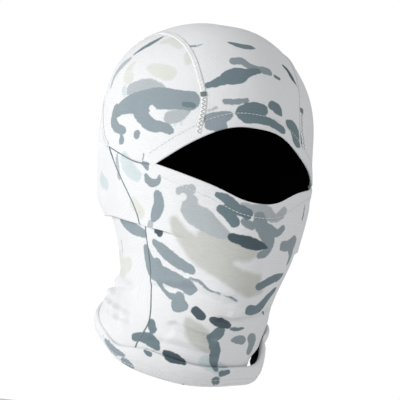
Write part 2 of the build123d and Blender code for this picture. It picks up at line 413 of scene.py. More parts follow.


# ---- the printed pattern: strokes of (azimuth, height, radius), listed one by one --------------
# They were read off the photo, so on the side it shows they follow its own print.
STROKES = {
    "beige": [
        [(-84, 66, 3), (-84, 58, 5), (-80, 54, 5)], [(-68, 64, 3), (-60, 62, 6), (-53, 60, 6)],
        [(-72, 86, 3), (-62, 87, 5), (-55, 83, 4)], [(-46, 76, 3), (-44, 70, 2.5)],
        [(-70, 46, 3), (-58, 48, 3)], [(-70, -38, 5), (-66, -44, 5)],
        [(-100, -80, 6), (-92, -88, 8), (-84, -84, 5)],
    ],
    "cream": [
        [(-42, -56, 5), (-36, -64, 9), (-28, -70, 10), (-18, -76, 9), (-8, -84, 7), (2, -90, 5)],
        [(-46, -47, 4), (-44, -54, 6), (-38, -62, 7)],
        [(-30, -119, 4), (-25, -124, 7), (-18, -129, 8), (-12, -134, 6)],
        [(-30, -56, 7), (-18, -60, 9), (-8, -64, 6), (-2, -62, 4)],
        [(-5, -80, 5), (3, -82, 6), (0, -88, 5), (10, -88, 4)],
    ],
    "ice": [
        [(-49, 36, 3), (-44, 36, 3)], [(-82, 46, 3), (-80, 42, 2.5)],
        [(-75, -6, 5), (-70, -14, 6), (-65, -18, 4)], [(-100, -22, 5), (-92, -27, 4)],
        [(-45, 22, 1), (-44.5, 32, 1)], [(-41.5, 23, 1), (-41, 31, 1)],
        [(-10, -146, 4), (2, -150, 4)],
    ],
    "light": [
        [(-48, 27, 5), (-42, 31, 5), (-40, 36, 5)], [(-76, 46, 5), (-64, 50, 5), (-56, 48, 4)],
        [(-92, 70, 3), (-97, 64, 4.5), (-100, 57, 3.5), (-100, 49, 2.5)],
        [(-28, 35.5, 1), (-24, 38.5, 1)],
        [(-81, -3, 1), (-80.5, -10, 2.5), (-79.5, -16, 2.5), (-79, -21, 1.8)],
        [(-60, -51, 3), (-61, -54, 2.5)],
        [(-42, -25, 3), (-36, -23, 4)],
        [(-36, -31, 5), (-37, -38, 7), (-32, -42, 8), (-27, -46, 7), (-20, -51, 4), (-17, -52, 2)],
        [(-10, -29, 2), (-2, -31.5, 4), (5, -33, 5), (9, -36, 3), (13, -34, 3.5), (16, -30, 3)],
        [(-93, -68, 1), (-93, -76, 1)],
    ],
    "grey": [
        [(-86, 30, 5), (-87, 22, 5), (-83, 17, 4), (-76, 14.5, 3)],
        [(-84, 29, 5), (-76, 34, 7), (-66, 37, 9), (-58, 40, 9), (-48, 41, 8), (-38, 41, 7.5)],
        [(-66, 30, 7), (-62, 24, 5.5), (-57, 20, 4.5), (-51, 19.5, 4), (-47, 17.5, 3)],
        [(-66.5, 12.5, 3.5)], [(-77.5, 7.5, 3.8)],
        [(-48, 83, 0.8), (-43, 83.5, 1.2), (-39, 85.5, 0.8)],
        [(-16, 74.5, 3.5), (-11, 75.5, 3.5), (-6, 73, 3), (0, 72, 2.5)],
        [(0, 71.5, 3), (4, 71.5, 3.5), (8, 71, 3.5)],
        [(-20, 43.5, 2), (-14, 44.5, 2.3), (-8, 46.8, 1.8)],
        [(-27, 29, 5), (-22, 31, 5), (-18, 33.5, 3.5)], [(-27, 25, 4), (-21, 25, 4)],
        [(-62, -8, 1.2), (-59.5, -9.5, 2.5), (-58.5, -12, 1.5)],
        [(-60, -16.5, 1.6), (-58.5, -20.5, 3), (-55, -21.5, 3), (-52.5, -19, 2.2), (-52, -16, 1)],
        [(-53.5, -30, 3.8), (-53.5, -36, 5), (-55.5, -42, 5), (-58, -47, 3)],
        [(-88, -52, 2.5), (-82, -55, 4.5), (-74, -58, 4.5), (-68, -60, 3)],
        [(0, -37, 5), (3, -44, 6), (7, -50, 6), (8, -56, 4.5), (7, -60, 3.5), (3, -63.5, 2.5)],
        [(7, -44, 4), (13, -46, 3), (17, -43, 2.5)], [(-9, -41, 2.5), (-4, -43, 3)],
        [(20, -55, 3.5), (26, -54, 4), (32, -52, 4), (30, -58, 3)],
        [(30, -56, 4), (33, -62, 3), (33, -68, 1.5)],
        [(-61, -65, 3), (-55, -70, 5), (-47, -76, 5), (-38, -80, 3.5)],
        [(-68, -70, 3), (-66, -79, 6), (-63, -86, 6), (-60, -80, 5)],
        [(-62, -85, 7), (-54, -88, 7), (-46, -90, 6), (-38, -93, 6)],
        [(-56, -93, 5), (-48, -101, 3.5)], [(-36, -93, 4)],
        [(-42, -102, 4.5), (-42, -108, 5), (-38, -107, 4)],
        [(-38, -86.5, 1), (-32, -87.5, 1.3), (-28, -90.5, 1.3), (-20, -93.5, 1), (-12, -95, 0.9),
         (-5, -98, 0.7)],
        [(-56, -154, 4), (-52, -156, 3)],
        [(-90, -136, 1.5), (-82, -140, 2.6), (-72, -145, 2.8), (-64, -148, 2.6), (-57, -149, 1)],
        [(4, -128, 1.5), (9, -127, 4), (13, -128, 3)], [(19, -124, 3), (23, -128, 4), (22, -136, 3)],
    ],
    "slate": [
        [(-91, 75, 1.5), (-87, 80.5, 3), (-83, 85, 3.5), (-79, 90, 1.5)],
        [(-30, 54, 2.5), (-25, 57, 3.5), (-20, 61, 5), (-15, 63.5, 7), (-9, 66.5, 4.5),
         (-3, 69, 3), (0, 70, 2.5)],
        [(-20, 89.5, 0.8), (-13, 88.5, 2.5), (-7, 88, 3), (-1, 88.5, 2.5), (3, 88.5, 1.2)],
        [(13, 68.5, 1.8), (15.5, 67.5, 1.8)],
        [(33, 67, 0.7), (35, 60, 0.7)],
        [(-10, 37, 6), (-6, 39, 7), (1, 42, 4.5)],
        [(-8, 34, 5), (0, 34.5, 4), (8, 33, 3.5), (13, 31.5, 3.5)],
        [(7, 46.5, 3.5), (11, 45, 4), (13, 42, 1.5)],
        [(19, 38, 3.5), (24, 34, 6), (25, 27, 4), (27, 26, 2)],
        [(-41, 38, 2), (-36, 38, 2)],
        [(-23, -24, 2), (-18, -27, 3.5), (-14, -31, 4)],
        [(-17, -33, 4), (-10, -33.5, 4), (-7, -35, 4)], [(-21, -34, 3.5), (-17, -37, 4), (-14, -42, 4)],
        [(37, -26, 1), (37, -36, 1.5)],
        [(-52, -124, 3.5), (-49, -128, 3.5)],
        [(-57, -136, 3), (-51, -135, 4), (-44, -138, 4), (-40, -141, 2)],
        [(-46, -144, 1), (-42, -146, 1.8)],
        [(-17, -164, 1.2)],
        [(8, -86, 3), (14, -83, 3.5), (21, -79.5, 3.5), (29, -77.5, 3), (33, -76, 1.5)],
        [(7, -103, 4), (13, -103, 4.5), (18, -98, 4), (23, -93, 4), (30, -88, 2.5)],
        [(30, -106, 2)],
        [(-2, -119, 1), (5, -119, 1.8), (9, -118, 1)],
        [(-8, -122, 4), (-10, -127, 4.5), (-13, -129, 2)],
        [(-8, -133, 4), (-5, -139, 4), (-4, -145, 3.5), (-2, -149, 2)],
        [(2, -152, 2.5), (6, -150.5, 2)], [(0, -156.5, 3), (2, -160, 2.5)],
    ],
    "dark": [
        [(27, 79, 1.5), (30, 75, 2.5), (31, 71, 2.5), (33, 67, 1)],
        [(-60, -56.5, 2), (-57, -57.5, 3)],
        [(-15.5, -53, 3), (-8, -54.5, 4.2), (-1, -56, 4.2), (4, -56.5, 2.5), (8, -57.5, 1)],
        [(-29, -110, 4), (-25, -112.5, 4)],
        [(-35, -143.5, 2), (-30, -145.5, 3.5), (-25, -147, 2.5), (-21, -148.5, 1)],
        [(-16, -114.5, 3), (-10, -116.5, 3.5), (-4, -117.5, 2.5)],
    ],
    "white": [
        [(-59, 33, 2.2), (-55, 29, 2.5)], [(-74, 22, 4), (-70, 19, 4)],
        [(-12, -71, 1.5), (-4, -72.5, 3), (6, -73, 4), (14, -72, 4)],
        [(-40, -29, 3)], [(-54, -95, 1.6), (-49, -97.5, 2), (-46, -98, 1)],
    ],
}


def scattered_strokes():
    """A generic pattern for the sides that the listed strokes don't reach."""
    chance = np.random.default_rng(7)
    tones = ["beige", "cream", "ice", "light", "light", "grey", "grey", "slate", "dark"]
    sizes = {"beige": 1.7, "cream": 2.0, "ice": 1.5, "light": 1.3, "dark": 0.55}
    for row in range(10):
        height = 84 - 24.0 * row
        for column in range(7):
            azimuth = 58 + column * 26 + chance.uniform(-8, 8) + 13 * (row % 2)
            level = height + chance.uniform(-8, 8)
            tone = tones[chance.integers(len(tones))]
            size = chance.uniform(4.2, 7.4) * sizes.get(tone, 1.0)
            heading = chance.uniform(-0.7, 0.7)
            stroke = []
            for _ in range(chance.integers(2, 5)):
                wrapped = azimuth if azimuth <= 180 else azimuth - 360
                stroke.append((wrapped, level, size * chance.uniform(0.5, 1.2)))
                azimuth += 5.0 * cos(heading)
                level += 6.5 * sin(heading)
                heading += chance.uniform(-0.8, 0.8)
            clear = all((a > 46 or a < -108) and z < 100 for a, z, _ in stroke)
            turns = [a for a, _, _ in stroke]
            if clear and max(turns) - min(turns) < 90:
                STROKES[tone].append(stroke)


def on_form(azimuth, height):
    """The places on the form at the given azimuths and heights."""
    alongs = np.linspace(0.5, LENGTH, 700)
    found = []
    for a, z in zip(azimuth, height):
        heights = form(np.full(alongs.shape, a), alongs)[:, 2]
        found.append(form(a, np.interp(-z, -heights, alongs)))
    return np.array(found)


def print_distance(place, strokes):
    """Distance from the edge of the blobs that a tone's strokes draw, negative inside."""
    best = np.full(len(place), 30.0)
    for stroke in strokes:
        points = np.array(stroke, float)
        if len(points) > 1:
            lengths = np.hypot(np.diff(points[:, 0]) * 1.4, np.diff(points[:, 1]))
            knots = np.concatenate([[0], np.cumsum(lengths)])
            spots = np.linspace(0, knots[-1], int(knots[-1] / 1.2) + 2)
            points = spline(knots, points, spline_slopes(knots, points), spots)
            points[:, 2] = np.maximum(points[:, 2], 0.5)
        centres = on_form(points[:, 0], points[:, 1])
        low, high = centres.min(0) - 14, centres.max(0) + 14
        near = np.flatnonzero(((place > low) & (place < high)).all(1))
        if len(near) == 0:
            continue
        gap = np.linalg.norm(place[near, None] - centres[None], axis=2) - points[:, 2]
        best[near] = np.minimum(best[near], gap.min(1))
    return best


def printed(place):
    """One column for each tone."""
    return np.stack([print_distance(place, STROKES[tone]) for tone in TONES], 1)


# ---- the whole cloth as one grid ---------------------------------------------------------------
def master_patch():
    """The grid with everything that is known at each of its vertices."""
    azimuth = -180 + 360 * np.arange(COLUMNS) / COLUMNS
    along = np.linspace(0, LENGTH, ROWS + 1)[1:]
    az, dist = [g.ravel() for g in np.meshgrid(azimuth, along)]
    az, dist = np.append(az, 0.0), np.append(dist, 0.05)
    base = form(az, dist)
    place = cloth(az, dist)
    normal = normals_of(cloth, az, dist)
    normal[-1] = (0, 0, 1)
    flat_x, flat_z = base[:, 0], base[:, 2]
    opening = far_from(distance_to(opening_outline(), flat_x, flat_z), base[:, 1] < -20)
    front = distance_to(front_outline(), base[:, 1], base[:, 2])
    crown = [far_from(distance_to(crown_outline(), *crown_view(base, side)),
                      side * base[:, 0] > 6) for side in (-1, 1)]
    columns = [az, dist, place, normal, opening, front, crown[0], crown[1], hem_level(base)]
    rows = np.column_stack(columns + [printed(base)])
    index = np.arange(ROWS * COLUMNS).reshape(ROWS, COLUMNS)
    upper, lower = index[:-1], index[1:]
    quads = np.stack([upper, lower, np.roll(lower, -1, 1), np.roll(upper, -1, 1)], -1)
    quads = quads.reshape(-1, 4)
    pole = ROWS * COLUMNS
    fan = [[pole, k, (k + 1) % COLUMNS] for k in range(COLUMNS)]
    return Patch(rows, quads, fan)


def hem_depth(rows):
    """The eye hems get narrower towards the corners."""
    return EYE_HEM * (1 - CORNER_TAPER * np.minimum(np.abs(rows[:, PX]) / 66, 1.1) ** 2)


# ---- making meshes ------------------------------------------------------------------------------
def boundary(faces, quads):
    """The directed edges that only one face uses."""
    edges = set()
    for k in range(4):
        edges.update(zip(quads[:, k].tolist(), quads[:, (k + 1) % 4].tolist()))
    for face in faces:
        edges.update(zip(face, face[1:] + face[:1]))
    return [(a, b) for a, b in edges if (b, a) not in edges]


def new_object(name, vertices, faces, materials, face_material=None, normals=None):
    mesh = bpy.data.meshes.new(name)
    mesh.from_pydata((np.asarray(vertices) * MM).tolist(), [], faces)
    for material in materials:
        mesh.materials.append(material)
    if face_material is not None:
        mesh.polygons.foreach_set("material_index", np.asarray(face_material, np.int32))
    mesh.polygons.foreach_set("use_smooth", np.ones(len(mesh.polygons), bool))
    mesh.update()
    if normals is not None:
        mesh.normals_split_custom_set_from_vertices(np.asarray(normals, np.float32).tolist())
    piece = bpy.data.objects.new(name, mesh)
    bpy.context.scene.collection.objects.link(piece)
    return piece


def knit_place(rows, mapping):
    """Where a vertex is on the flat knit: across and along its wales, in millimetres."""
    az, along, place = rows[:, AZ], rows[:, ALONG], rows[:, PX:PX + 3]
    if mapping == "front":
        return az * 1.4, along
    if mapping == "crown_right":
        return crown_view(place, -1)
    if mapping == "crown_left":
        return crown_view(place, 1)
    top = np.maximum(step(place[:, 2], 20, 60) * 1.0, step(place[:, 1], 20, -20))
    behind = -1.4 * np.where(az > 0, az - 180, az + 180)
    across = behind + (place[:, 0] - behind) * top
    return across, along + (-along * np.cos(np.radians(az)) - along) * top


def set_attributes(mesh, camo, knit):
    for k, tone in enumerate(TONES):
        data = mesh.attributes.new("print_" + tone, "FLOAT", "POINT")
        data.data.foreach_set("value", np.ascontiguousarray(camo[:, k], np.float32))
    loops = np.zeros(len(mesh.loops), np.int32)
    mesh.loops.foreach_get("vertex_index", loops)
    layer = mesh.uv_layers.new(name="knit")
    layer.data.foreach_set("uv", (knit[loops] * MM).astype(np.float32).ravel())


EDGE_ANGLES = [0.25 * pi, 0.5 * pi, 0.75 * pi]


def cloth_piece(name, patch, lift, thickness, rounded, mapping, inside):
    """A patch of the master grid as a closed layer of cloth.

    lift raises the outer face, rounded says where an edge is a rounded fold, and inside is
    the material of the inner face.
    """
    patch = patch.tidy()
    rows = patch.rows
    place, normal = rows[:, PX:PX + 3], rows[:, NX:NX + 3].copy()
    normal /= np.linalg.norm(normal, axis=1)[:, None]
    raised = lift(rows)[:, None]
    thick = thickness(rows)[:, None] if callable(thickness) else thickness
    outer = place + normal * raised
    inner = outer - normal * thick
    count = len(rows)
    edges = boundary(patch.polygons, patch.quads)
    outward = np.zeros((count, 3))
    for a, b in edges:
        side = np.cross(place[b] - place[a], normal[a])
        outward[a] += side
        outward[b] += side
    sizes = np.linalg.norm(outward, axis=1)
    sizes[sizes < 1e-9] = 1
    outward /= sizes[:, None]
    rim = sorted({v for edge in edges for v in edge})
    slot = {v: k for k, v in enumerate(rim)}
    rim = np.array(rim)
    half = (thick if np.isscalar(thick) else thick[rim]) / 2
    round_here = rounded(rows)[rim][:, None]
    vertices, directions = [outer, inner], [normal, -normal]
    for angle in EDGE_ANGLES:
        ring = outer[rim] - normal[rim] * half * (1 - cos(angle))
        vertices.append(ring + outward[rim] * half * sin(angle) * round_here)
        directions.append(normal[rim] * cos(angle) + outward[rim] * sin(angle))
    faces = [list(q) for q in patch.quads.tolist()] + patch.polygons
    inner_faces = [[v + count for v in reversed(face)] for face in faces]
    material = [0] * len(faces) + [1] * len(faces)
    rings = [{v: v for v in slot}]
    for k in range(len(EDGE_ANGLES)):
        rings.append({v: 2 * count + k * len(rim) + at for v, at in slot.items()})
    rings.append({v: v + count for v in slot})
    sides = []
    for a, b in edges:
        for one, two in zip(rings[:-1], rings[1:]):
            sides.append([one[b], one[a], two[a], two[b]])
    material += [0] * len(sides)
    piece = new_object(
        name, np.concatenate(vertices), faces + inner_faces + sides, [knit_material, inside],
        material, np.concatenate(directions))
    order = np.concatenate([np.arange(count), np.arange(count)] + [rim] * len(EDGE_ANGLES))
    across, down = knit_place(rows, mapping)
    set_attributes(piece.data, rows[order, CAMO:], np.stack([across, down], 1)[order])
    return piece


# ---- materials -----------------------------------------------------------------------------------
WHITE = (0.72, 0.73, 0.745)
TONE_COLORS = {
    "beige": (0.585, 0.60, 0.56),
    "cream": (0.475, 0.48, 0.455),
    "ice": (0.50, 0.56, 0.58),
    "light": (0.365, 0.395, 0.41),
    "grey": (0.215, 0.262, 0.288),
    "slate": (0.118, 0.170, 0.190),
    "dark": (0.042, 0.070, 0.085),
}
SOFT_EDGES = {"beige": 1.2, "cream": 2.4, "ice": 1.2, "light": 0.7}
CRISP_EDGE = 0.45
EDGE_WOBBLE = 2.2
EYELET_SHADE = (0.30, 0.33, 0.35)


class Nodes:
    """Short ways to add shader nodes to a material."""

    def __init__(self, name):
        self.material = bpy.data.materials.new(name)
        self.material.use_nodes = True
        self.tree = self.material.node_tree
        self.shader = self.tree.nodes["Principled BSDF"]

    def add(self, kind, **values):
        node = self.tree.nodes.new(kind)
        for key, value in values.items():
            if hasattr(node, key):
                setattr(node, key, value)
            else:
                node.inputs[key.replace("_", " ")].default_value = value
        return node

    def join(self, source, target):
        self.tree.links.new(source, target)

    def math(self, operation, one, two=None):
        node = self.add("ShaderNodeMath", operation=operation)
        for socket, value in zip(node.inputs, (one, two)):
            if value is None:
                continue
            if isinstance(value, (int, float)):
                socket.default_value = value
            else:
                self.join(value, socket)
        return node.outputs[0]

    def ramp(self, value, low, high, start=0.0, end=1.0):
        node = self.add("ShaderNodeMapRange", interpolation_type="SMOOTHSTEP")
        self.join(value, node.inputs["Value"])
        for key, number in zip(("From Min", "From Max", "To Min", "To Max"),
                               (low, high, start, end)):
            node.inputs[key].default_value = number
        return node.outputs["Result"]

    def mix(self, share, one, two):
        node = self.add("ShaderNodeMix", data_type="RGBA")
        if isinstance(share, (int, float)):
            node.inputs["Factor"].default_value = share
        else:
            self.join(share, node.inputs["Factor"])
        for key, value in zip((6, 7), (one, two)):
            if isinstance(value, tuple):
                node.inputs[key].default_value = (*value, 1)
            else:
                self.join(value, node.inputs[key])
        return node.outputs[2]

    def noise(self, scale, detail=2.0):
        node = self.add("ShaderNodeTexNoise", Scale=scale, Detail=detail)
        self.join(self.add("ShaderNodeTexCoord").outputs["Object"], node.inputs["Vector"])
        return node.outputs["Fac"]

    def bump(self, height, strength, distance, before=None):
        node = self.add("ShaderNodeBump", Strength=strength, Distance=distance)
        self.join(height, node.inputs["Height"])
        if before is not None:
            self.join(before, node.inputs["Normal"])
        return node.outputs["Normal"]


def knit_height(nodes):
    """The fine mesh of the knit: rows of small eyelets, offset from one row to the next."""
    uv = nodes.add("ShaderNodeUVMap", uv_map="knit")
    split = nodes.add("ShaderNodeSeparateXYZ")
    nodes.join(uv.outputs["UV"], split.inputs[0])
    across = nodes.math("MULTIPLY", split.outputs["X"], 2 * pi / WALE)
    down = nodes.math("MULTIPLY", split.outputs["Y"], 2 * pi / COURSE)
    one = nodes.math("SINE", nodes.math("ADD", across, nodes.math("MULTIPLY", down, 0.5)))
    two = nodes.math("SINE", nodes.math("SUBTRACT", across, nodes.math("MULTIPLY", down, 0.5)))
    return nodes.math("MULTIPLY", one, two)


def make_knit():
    """White knit, printed tone by tone, with the mesh of its eyelets."""
    nodes = Nodes("printed_knit")
    wobble = nodes.math("MULTIPLY", nodes.math("SUBTRACT", nodes.noise(260, 3), 0.5),
                        EDGE_WOBBLE)
    cut = nodes.add("ShaderNodeAttribute", attribute_name="print_white").outputs["Fac"]
    cut = nodes.math("ADD", cut, wobble)
    color = nodes.mix(nodes.noise(35), WHITE, tuple(0.965 * c for c in WHITE))
    for tone, paint in TONE_COLORS.items():
        edge = nodes.add("ShaderNodeAttribute", attribute_name="print_" + tone).outputs["Fac"]
        edge = nodes.math("ADD", edge, wobble)
        if tone != "dark":
            edge = nodes.math("MAXIMUM", edge, nodes.math("MULTIPLY", cut, -1.0))
        worn = nodes.mix(nodes.noise(90, 4), paint, tuple(min(1, 1.14 * c) for c in paint))
        soft = SOFT_EDGES.get(tone, CRISP_EDGE)
        color = nodes.mix(nodes.ramp(edge, -soft, soft, 1.0, 0.0), color, worn)
    height = knit_height(nodes)
    shade = nodes.ramp(height, -1.0, 1.0, 0.0, 0.10)
    color = nodes.mix(shade, color, EYELET_SHADE)
    nodes.join(color, nodes.shader.inputs["Base Color"])
    rough = nodes.ramp(nodes.noise(120), 0.3, 0.7, 0.82, 0.92)
    nodes.join(rough, nodes.shader.inputs["Roughness"])
    slack = nodes.bump(nodes.noise(28, 3), 0.35, 0.004)
    nodes.join(nodes.bump(height, 0.28, 0.0005, slack), nodes.shader.inputs["Normal"])
    nodes.shader.inputs["Specular IOR Level"].default_value = 0.25
    nodes.shader.inputs["Sheen Weight"].default_value = 0.12
    nodes.shader.inputs["Sheen Roughness"].default_value = 0.6
    return nodes.material


def make_thread(name, color, pitch):
    """Twisted polyester thread, or a band overlocked with it."""
    nodes = Nodes(name)
    tone = nodes.mix(nodes.noise(300, 3), color, tuple(0.86 * c for c in color))
    nodes.join(tone, nodes.shader.inputs["Base Color"])
    wave = nodes.add("ShaderNodeTexWave", wave_type="BANDS", bands_direction="DIAGONAL",
                     Scale=0.32 / pitch, Distortion=0.6)
    nodes.join(nodes.add("ShaderNodeTexCoord").outputs["Object"], wave.inputs["Vector"])
    nodes.join(nodes.bump(wave.outputs["Fac"], 0.5, 0.0003), nodes.shader.inputs["Normal"])
    nodes.shader.inputs["Roughness"].default_value = 0.62
    nodes.shader.inputs["Sheen Weight"].default_value = 0.15
    return nodes.material


def make_inner_shade():
    """Painted shade: the inner face of the cloth made near-black, for the dark inside of the hood."""
    nodes = Nodes("painted_inner_shade")
    color = nodes.mix(nodes.noise(200, 3), (0.0035, 0.0035, 0.004), (0.007, 0.007, 0.008))
    nodes.join(color, nodes.shader.inputs["Base Color"])
    nodes.join(nodes.bump(knit_height(nodes), 0.3, 0.0004), nodes.shader.inputs["Normal"])
    nodes.shader.inputs["Roughness"].default_value = 0.95
    nodes.shader.inputs["Specular IOR Level"].default_value = 0.05
    return nodes.material


knit_material = make_knit()
thread_material = make_thread("sewing_thread", (0.74, 0.76, 0.76), 0.0009)
tape_material = make_thread("overlocked_seam", (0.78, 0.79, 0.79), 0.0014)
# Dark grey thread; on the cap and side joins, sunk in their grooves, it is also painted shade along the
# seam.
thread_and_seam_shade_material = make_thread("grey_thread_and_seam_shade", (0.16, 0.20, 0.21), 0.0011)
# near-black painted shade for the inside of the hood and under the neck cuff's fold
inner_shade_material = make_inner_shade()


# ---- the panels and hems -----------------------------------------------------------------------
SEAM_DIPS = [(FRONT, 1.1, 0.9), (CROWN_R, 2.2, 0.35), (CROWN_L, 2.2, 0.35)]
WORDS = {-1: "right", 1: "left"}


def under_seams(rows):
    """The panels dip where a seam lies on them."""
    out = np.zeros(len(rows))
    for column, width, depth in SEAM_DIPS:
        out -= depth * bump(rows[:, column], 0, width)
    return out


def hem_lift(rows):
    """A folded hem stands proud at its edge and lies down to its stitches."""
    depth = hem_depth(rows)
    share = rows[:, OPEN] / depth
    lift = 0.12 + 0.5 * (1 - step(share, 0.6, 0.95)) - 0.25 * bump(share, 0.93, 0.06)
    return lift - 0.8 * bump(rows[:, FRONT], 0, 0.9)


def hem_round(rows):
    """Only the edge at the eye opening is a rounded fold."""
    return step(rows[:, OPEN], 1.6, 0.6)


def hem_thickness(rows):
    """Two layers at the fold, one past the stitches."""
    return 0.9 + 0.9 * step(rows[:, OPEN] / hem_depth(rows), 1.0, 0.75)


def cut_square(rows):
    """No edge of a panel is a fold."""
    return np.zeros(len(rows))


def sewn(piece, body, nodes):
    """What every piece of cloth or thread says to the frame."""
    if isinstance(body, str):
        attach(piece, body)
    else:
        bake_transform(piece)
    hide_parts(*nodes)
    return piece


THROAT_START = Vector((0, HEM_MIDDLE, HEM_HEIGHT + SPLIT_HEIGHT)) * MM
SLOPE_NORMAL = Vector((0, -HEM_SLOPE, 1)).normalized()
THROAT_LENGTH = 0.02446
NECK = ("hood", "neck_collar", THROAT_START, THROAT_START - SLOPE_NORMAL * THROAT_LENGTH)
COVER_LOW, COVER_HIGH = -114.0, -19.0
CHEEK_FADE = 0.031


def cover_ride(side):
    """The body blend of a face cover piece: side is -1, 0 or 1."""
    start = Vector((side * SPLIT_SIDE, 0, COVER_LOW))
    slope = Vector((-CHEEK_FADE * side, 0, 1 / (COVER_HIGH - COVER_LOW)))
    end = start + slope / slope.length_squared
    return ("hood", "face_cover", start * MM, end * MM)


def past_side(side):
    """A field that is negative beyond the line between the face cover's middle and its cheek."""
    return lambda rows: SPLIT_SIDE - side * rows[:, PX]


def between_sides(patch):
    """The part of a patch between the two lines beside the face cover's middle."""
    return patch.cut(lambda rows: -past_side(-1)(rows)).cut(lambda rows: -past_side(1)(rows))


def clear_of_hems(rows):
    return hem_depth(rows) - TUCK - rows[:, OPEN]


def clear_of_cuff(rows):
    return np.interp(rows[:, AZ], CUFF_EDGE_AZ, CUFF_EDGE) + PANEL_END - rows[:, LEVEL]


def add_panel(name, patch, body, node, mapping):
    # the panels' inner faces take the near-black painted shade
    piece = cloth_piece(name, patch, under_seams, FABRIC, cut_square, mapping, inner_shade_material)
    sewn(piece, body, [node])


def make_panels(master):
    master = master.cut(clear_of_hems).cut(clear_of_cuff)
    front = master.cut(FRONT)
    rear = master.cut(lambda rows: -rows[:, FRONT])
    for side, word in WORDS.items():
        crown = rear.cut(CROWN_R if side < 0 else CROWN_L)
        add_panel("crown_knit_" + word, crown, "hood", "crown_side_panel_" + word,
                  "crown_" + word)
    back = rear.cut(lambda rows: -rows[:, CROWN_R]).cut(lambda rows: -rows[:, CROWN_L])
    add_panel("back_knit", back, NECK, "center_back_panel", "back")
    low = front.cut(lambda rows: rows[:, LEVEL] - SPLIT_HEIGHT)
    high = front.cut(lambda rows: SPLIT_HEIGHT - rows[:, LEVEL])
    add_panel("front_knit_throat", low, NECK, "front_panel", "front")
    add_panel("front_knit_middle", between_sides(high), cover_ride(0), "front_panel",
              "front")
    for side, word in WORDS.items():
        add_panel("front_knit_cheek_" + word, high.cut(past_side(side)), cover_ride(side),
                  "front_panel", "front")


def add_hem(name, patch, mapping, body, node):
    piece = cloth_piece(name, patch, hem_lift, hem_thickness, hem_round, mapping, knit_material)
    sewn(piece, body, [node])


def make_hems(master):
    hem = master.cut(lambda rows: -rows[:, OPEN])
    hem = hem.cut(lambda rows: rows[:, OPEN] - hem_depth(rows))
    brow = hem.cut(lambda rows: -rows[:, FRONT])
    cover = hem.cut(FRONT)
    add_hem("brow_fold", brow, "back", "hood", "brow_hem")
    add_hem("cover_fold_middle", between_sides(cover), "front", cover_ride(0),
            "face_cover_hem")
    for side, word in WORDS.items():
        add_hem("cover_fold_" + word, cover.cut(past_side(side)), "front", cover_ride(side),
                "face_cover_hem")


# ---- the neck hem as a rolled ring outside the panels -------------------------------------------
CUFF_EDGE_AZ = [-180, -110, -72, -52, -36, -17, -5, 26, 44, 60, 110, 180]
CUFF_EDGE = [4, 6, 7, 5.0, 6.0, 6.5, 7.5, 10.0, 12, 7, 3, 4]
CUFF_SECTION = [
    (0.6, 2.0), (3, 2.9), (6, 3.4), (9, 3.8), (12, 4.1), (15, 4.2), (17.6, 3.9), (19.2, 3.0),
    (19.7, 2.0), (18.8, 1.0), (16, 0.7), (12, 0.6), (8, 0.55), (4, 0.55), (1.2, 0.6), (0.1, 1.1),
]
CUFF_POINTS = 56
CUFF_TOP = 19.7         # the section's height, which its levels are a share of
CUFF_FACE = 7           # points of the section on its outer face
CUFF_INSIDE = 0.95      # the section's points nearer the cloth than this are mostly out of sight; their faces get the near-black painted shade, a painted shadow line under the fold
NOTCH_AZ, NOTCH_WIDTH, NOTCH_DEPTH = 48, 3.2, 2.6


def at_level(azimuth, level):
    """Distances along the form at the given heights above the neck hem's plane."""
    alongs = np.linspace(LENGTH - 90, LENGTH, 220)
    found = np.empty(np.shape(level))
    for k, a in enumerate(azimuth):
        heights = hem_level(form(np.full(alongs.shape, a), alongs))
        found[k] = np.interp(-level[k], -heights, alongs)
        below = level[k] < heights[-1]
        found[k] = np.where(below, LENGTH, found[k])
    return found


def cuff_place(azimuth, level, out):
    """Places beside the form at the given heights above the hem's plane and standoffs."""
    along = at_level(azimuth, level)
    az = np.broadcast_to(azimuth[:, None], level.shape)
    place, normal = form(az, along), normals_of(form, az, along)
    missing = level - hem_level(place)
    out = out + neck_pull(az, level)
    return place + normal * out[..., None] + np.array([0, 0, 1.0]) * missing[..., None]


